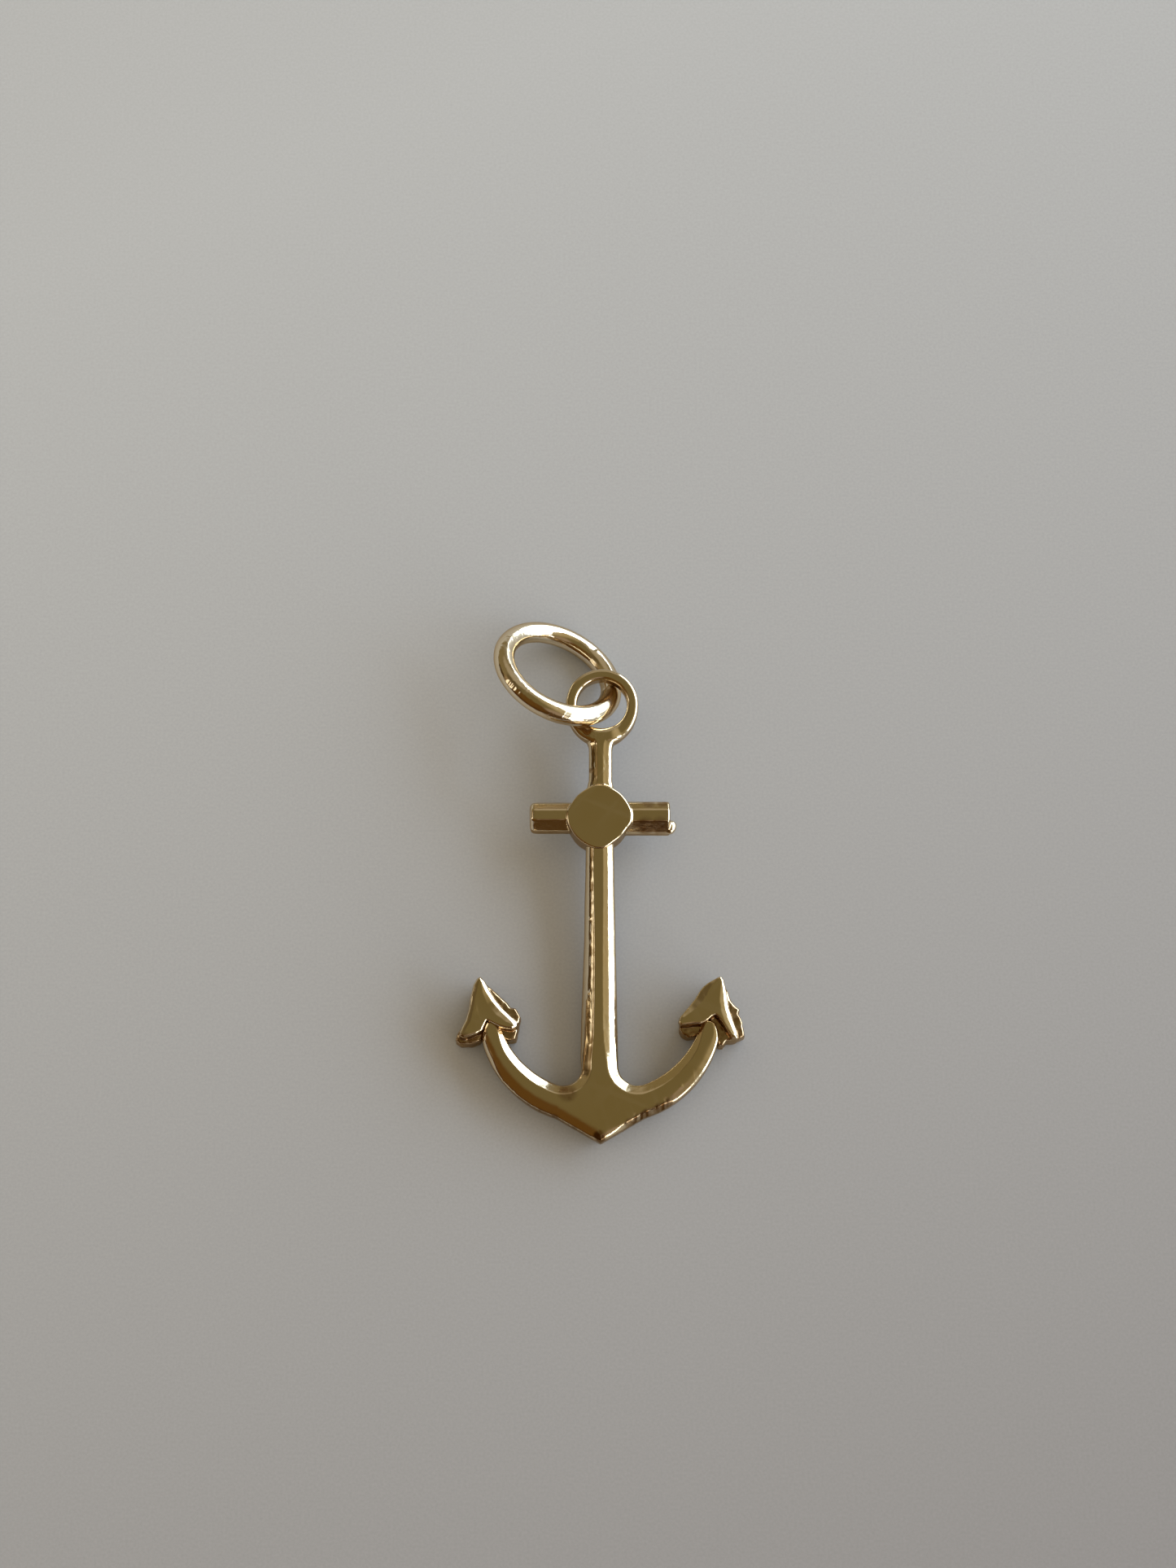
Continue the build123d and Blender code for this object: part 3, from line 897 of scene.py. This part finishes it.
left_rough = ((-3.6, 5.5, 0.35), (-3.5, 4.4, 0.4), (-5.6, 4.2, 0.4))
left_fluke = fluke("left_fluke", left_face, left_back, left_rough, hollow=(-4.75, 5.5, 0.55, 0.09))

# %% Right fluke
right_face = (
    (4.96, 6.82, 0.04, 40, 0.03, 15), (4.82, 6.78, 0.03, 55, 0.05, 16), (4.68, 6.7, 0.03, 60, 0.1, 16),
    (4.46, 6.58, 0.03, 60, 0.17, 16), (4.24, 6.42, 0.03, 60, 0.26, 16), (4.08, 6.22, 0.03, 60, 0.32, 16),
    (3.9, 5.92, 0.03, 60, 0.3, 16), (3.7, 5.66, 0.03, 60, 0.26, 16), (3.5, 5.42, 0.03, 60, 0.2, 16),
    (3.28, 5.16, 0.03, 60, 0.1, 16), (3.2, 4.94, 0.03, 55, 0.05, 16), (3.26, 4.76, 0.05, 30, 0.03, 12),
    (3.5, 4.78, 0.07, 28, 0.03, 10), (3.81, 4.83, 0.06, 28, 0.03, 10), (4.12, 4.84, 0.04, 30, 0.03, 10),
    (4.4, 4.98, 0.03, 40, 0.02, 10), (4.6, 5.15, 0.03, 45, 0.02, 10), (4.73, 5.22, 0.02, 45, 0.02, 10),
    (4.84, 5.12, 0.03, 50, 0.02, 10), (5.03, 4.82, 0.03, 50, 0.03, 10), (5.24, 4.48, 0.03, 50, 0.03, 10),
    (5.4, 4.24, 0.03, 50, 0.03, 12), (5.64, 4.2, 0.06, 40, 0.04, 12), (5.64, 4.46, 0.11, 38, 0.16, 14),
    (5.47, 4.95, 0.13, 38, 0.22, 14), (5.3, 5.45, 0.12, 38, 0.22, 14), (5.22, 5.9, 0.11, 38, 0.2, 14),
    (5.16, 6.35, 0.09, 38, 0.12, 14), (5.07, 6.68, 0.06, 40, 0.04, 12),
)
right_back = (
    (4.98, 6.72), (4.68, 6.62), (4.21, 6.34), (3.77, 5.74), (3.34, 5.16), (3.26, 4.7), (3.36, 4.5),
    (3.6, 4.36), (3.83, 4.4), (4.3, 4.56), (4.66, 4.75), (4.76, 4.4), (4.86, 4.04), (5.05, 4.0),
    (5.2, 4.22), (5.55, 4.22), (5.94, 4.42), (5.86, 4.99), (5.7, 5.36), (5.74, 5.52), (5.56, 5.7),
    (5.42, 5.84), (5.28, 6.25),
)
right_rough = ((5.7, 5.0, 0.4), (5.0, 4.1, 0.3), (3.5, 4.5, 0.4))
right_fluke = fluke("right_fluke", right_face, right_back, right_rough)

# %% [markdown]
# The jump ring is round wire, bent round and soldered shut. A circle is spun round the ring's
# middle. Pliers left flat spots and nicks, so points near those places move in a little. The
# frame's record says where the ring's opening is and which way it faces.

# %% Jump ring
opening = next(mount for mount in frame["record"]["mounts"] if mount["name"] == "chain_ring")
ring_middle, ring_normal = Vector([c / mm for c in opening["pos_m"]]), Vector(opening["axis"])
ring_radius, wire_radius = 2.453, 0.445
ring = bmesh.new()
bmesh.ops.create_circle(ring, segments=64, radius=wire_radius)
bmesh.ops.rotate(ring, verts=ring.verts, matrix=upright)
bmesh.ops.translate(ring, verts=ring.verts, vec=(ring_radius, 0, 0))
full_spin(ring, (0, 0, 0), 400)
bmesh.ops.recalc_face_normals(ring, faces=ring.faces)
print("ring:", len(ring.faces), "faces round", [round(c, 3) for c in ring_middle])

# %% Dents and nicks
ring_marks = (  # degrees round the ring, degrees round the wire, half lengths both ways, depth in mm
    (345, 125, 6, 5, 0.014), (352, 118, 4, 4, 0.012), (337, 120, 5, 4, 0.01), (267, 105, 4, 12, 0.016),
    (263, 92, 1.5, 14, 0.022), (70, 20, 1.2, 12, 0.014), (74, 24, 1.2, 14, 0.016), (78, 24, 1.0, 10, 0.014),
    (83, 26, 1.2, 12, 0.016), (128, 47, 6, 4, 0.012), (140, 44, 7, 4, 0.014), (151, 46, 6, 4, 0.014),
    (163, 41, 7, 4, 0.014), (120, 60, 5, 4, 0.01), (206, 160, 1.2, 40, 0.045), (209, 170, 3.0, 20, 0.02),
)


def turn_between(one, other):
    """Signed turn from one angle to another, the short way, in degrees."""
    return (one - other + 180) % 360 - 180


for v in ring.verts:
    out = v.co.xy.length - ring_radius
    round_ring, round_wire = degrees(atan2(v.co.y, v.co.x)), degrees(atan2(v.co.z, out))
    inward = (v.co - v.co.xy.normalized().to_3d() * ring_radius).normalized()
    for along_ring, along_wire, half_ring, half_wire, depth in ring_marks:
        one = turn_between(round_ring, along_ring) / half_ring
        other = turn_between(round_wire, along_wire) / half_wire
        if one * one + other * other < 6:
            v.co -= inward * depth * exp(-one * one - other * other)
print("dents:", len(ring_marks))

# %% [markdown]
# The ring is stood up in its place, leaning through the eye. Drawn wire is never quite even either, so
# it gets slow and fine waves, all inward, to keep its gap to the eye. The two masks of the casting
# are added to it empty, because both golds read them.

# %% Ring in its place
turn = Vector((0, 0, 1)).cross(ring_normal).normalized()
upward = ring_normal.cross(turn)
stand = Matrix((turn, upward, ring_normal)).transposed().to_4x4()
stand.translation = ring_middle
bmesh.ops.transform(ring, matrix=stand, verts=ring.verts)
ring.normal_update()
for mask in ("unpolished", "corner"):
    ring.verts.layers.float.new(mask)
ring_waves = ((0.006, 0.9), (0.0038, 3.0), (0.0013, 8.0))  # height in mm, waves to a mm
wave_inset = 0.006
for v in ring.verts:
    wave = sum(height * noise.noise(v.co * often) for height, often in ring_waves)
    v.co += v.normal * (wave - wave_inset)
wire_ring = finish_piece(ring, "wire_ring", "jump_ring")

# %% [markdown]
# Gold of this kind is a warm, slightly pale metal. What makes it look real is what the polishing
# left behind: hair-fine scratches in a few directions, a haze that comes and goes, cloudy changes
# of tone, and the grain of the mould where no wheel could reach. Each of these effects is a node
# group, because the casting and the wire share them in different strengths.

# %% Helpers for worn gold


def noise_node(tree, scale, detail=2.0, stretch=(1, 1, 1), turned=(0, 0, 0)):
    """Noise in object space, with its scale in cells to a metre, turned and then stretched."""
    place = add_node(tree, "TexCoord").outputs["Object"]
    fed = {"Vector": place, "Rotation": turned, "Scale": stretch}
    mapped = add_node(tree, "Mapping", fed, vector_type="TEXTURE").outputs["Vector"]
    return add_node(tree, "TexNoise", {"Vector": mapped, "Scale": scale, "Detail": detail}).outputs["Fac"]


def math_node(tree, operation, first, second):
    """Adds, multiplies or compares two values."""
    return add_node(tree, "Math", {0: first, 1: second}, operation=operation).outputs["Value"]


# %% [markdown]
# A scratch is noise pulled out long in one direction, of which only the crests count. Three
# directions cross each other, and a coarse noise lets them come in patches.

# %% Fine scratches
scratches, given, result = new_group(
    "fine scratches", {"Amount": 1.0}, {"Height": "Float", "Mask": "Float"})
crests = 0
for angle, scale in ((0.3, 2600), (1.2, 2100), (2.5, 3100)):
    crest = ranged(scratches, noise_node(scratches, scale, 1.0, (1, 28, 1), (0, 0, angle)), 0.6, 0.68)
    crests = math_node(scratches, "MAXIMUM", crests, crest)
patchy = ranged(scratches, noise_node(scratches, 260, 1.0), 0.42, 0.62)
crests = math_node(scratches, "MULTIPLY", math_node(scratches, "MULTIPLY", crests, patchy), given["Amount"])
feed(scratches, result, {"Mask": crests, "Height": math_node(scratches, "MULTIPLY", crests, -1.0)})

# %% [markdown]
# The wheel's compound leaves some parts clearer than others. Roughness runs from clear to hazy
# with a slow cloud, and scratches and unpolished skin make it rougher.

# %% Polishing haze
haze, given, result = new_group(
    "polishing haze", {"Clear": 0.08, "Hazy": 0.16, "Unpolished": 0.0, "Scratched": 0.0},
    {"Roughness": "Float"},
)
cloudy = ranged(haze, noise_node(haze, 420, 3.0), 0.3, 0.75)
span = math_node(haze, "SUBTRACT", given["Hazy"], given["Clear"])
rough = math_node(haze, "ADD", given["Clear"], math_node(haze, "MULTIPLY", cloudy, span))
for more in ("Scratched", "Unpolished"):
    rough = math_node(haze, "ADD", rough, math_node(haze, "MULTIPLY", given[more], 0.1))
feed(haze, result, {"Roughness": rough})

# %% [markdown]
# The grain of the mould is fine sand, strong only where the skin is unpolished. The gold tone has
# clouds of paler and warmer gold, red-brown fire skin where it is unpolished, which on the sides and
# underside is partly painted shade, and a dark colour in corners and hollows that is dirt and painted
# shade.

# %% Mould grain and gold tone
grain, given, result = new_group(
    "mould grain", {"Unpolished": 0.0, "Polished Share": 0.05}, {"Height": "Float", "Speckle": "Float"})
coarse = math_node(grain, "MULTIPLY", noise_node(grain, 2400), 1.6)
sandy = math_node(grain, "ADD", noise_node(grain, 7000), coarse)
strength = math_node(grain, "ADD", given["Unpolished"], given["Polished Share"])
feed(grain, result, {"Height": math_node(grain, "MULTIPLY", sandy, strength),
                     "Speckle": ranged(grain, noise_node(grain, 3600), 0.45, 0.65)})

tone, given, result = new_group(
    "gold tone",
    {"Gold": (0.88, 0.68, 0.38, 1), "Warm Gold": (0.86, 0.62, 0.29, 1),
     "Fire Skin And Shade": (0.5, 0.3, 0.15, 1), "Dirt And Shade Colour": (0.2, 0.1, 0.04, 1),
     "Unpolished": 0.0, "Corner": 0.0, "Speckle": 0.0},
    {"Colour": "Color"},
)
clouds = ranged(tone, noise_node(tone, 330), 0.35, 0.68)
speckled = ranged(tone, given["Speckle"], 0, 1, 0.7, 1.0)
colour = blended(tone, clouds, given["Gold"], given["Warm Gold"])
colour = blended(tone, math_node(tone, "MULTIPLY", given["Unpolished"], speckled), colour, given["Fire Skin And Shade"])
# hollows get a dark colour: dirt and painted shade
feed(tone, result, {"Colour": blended(tone, given["Corner"], colour, given["Dirt And Shade Colour"])})

# %% [markdown]
# A material for the casting and one for the wire. The two masks come from the mesh itself, as
# attributes, so the fire skin and the painted shade in hollows lie just where the casting marks put
# them. The grain and the scratches are a few thousandths of a millimetre deep, which is bump's work
# and not the mesh's.

# %% Gold
edge_tint = (0.72, 0.6, 0.45)
grain_depth, scratch_depth = 0.006 * mm, 0.004 * mm


def gold(name, colours, clear, hazy, scratch_amount, grain_share):
    """Material of worn gold: colours are gold, warm gold, fire skin, and the dark colour painted in hollows
    as grime and shade.
    """
    look = bpy.data.materials.new(name)
    look.use_nodes = True
    tree = look.node_tree
    unpolished, corner = (add_node(tree, "Attribute", attribute_name=mask).outputs["Fac"]
                          for mask in ("unpolished", "corner"))
    lines = add_node(tree, "Group", {"Amount": scratch_amount}, node_tree=scratches).outputs
    fed = {"Unpolished": unpolished, "Polished Share": grain_share}
    sand = add_node(tree, "Group", fed, node_tree=grain).outputs
    fed = {"Clear": clear, "Hazy": hazy, "Unpolished": unpolished, "Scratched": lines["Mask"]}
    roughness = add_node(tree, "Group", fed, node_tree=haze).outputs["Roughness"]
    fed = dict(zip(("Gold", "Warm Gold", "Fire Skin And Shade", "Dirt And Shade Colour"), colours))
    fed |= {"Unpolished": unpolished, "Corner": corner, "Speckle": sand["Speckle"]}
    colour = add_node(tree, "Group", fed, node_tree=tone).outputs["Colour"]
    grainy = add_node(tree, "Bump", {"Height": sand["Height"], "Distance": grain_depth}).outputs["Normal"]
    fed = {"Height": lines["Height"], "Distance": scratch_depth, "Normal": grainy}
    scratched = add_node(tree, "Bump", fed).outputs["Normal"]
    feed(tree, tree.nodes["Principled BSDF"], {"Base Color": colour, "Metallic": 1, "Roughness": roughness,
                                               "Specular Tint": edge_tint, "Normal": scratched})
    print(name, len(tree.nodes), "nodes")
    return look


# the last colour of each is dirt and painted shade in hollows; the fire skin is partly painted shade
cast_colours = ((0.87, 0.74, 0.53), (0.85, 0.7, 0.45), (0.32, 0.17, 0.06), (0.15, 0.07, 0.02))
wire_colours = ((0.88, 0.76, 0.56), (0.86, 0.71, 0.48), (0.5, 0.36, 0.2), (0.2, 0.12, 0.05))
cast_gold = gold("cast_gold_look", cast_colours, clear=0.11, hazy=0.16, scratch_amount=0.6, grain_share=0.04)
wire_gold = gold("wire_gold_look", wire_colours, clear=0.1, hazy=0.18, scratch_amount=1.0, grain_share=0.05)
for piece in (shank_and_arms, head_and_eye, left_fluke, right_fluke):
    piece.data.materials.append(cast_gold)
wire_ring.data.materials.append(wire_gold)
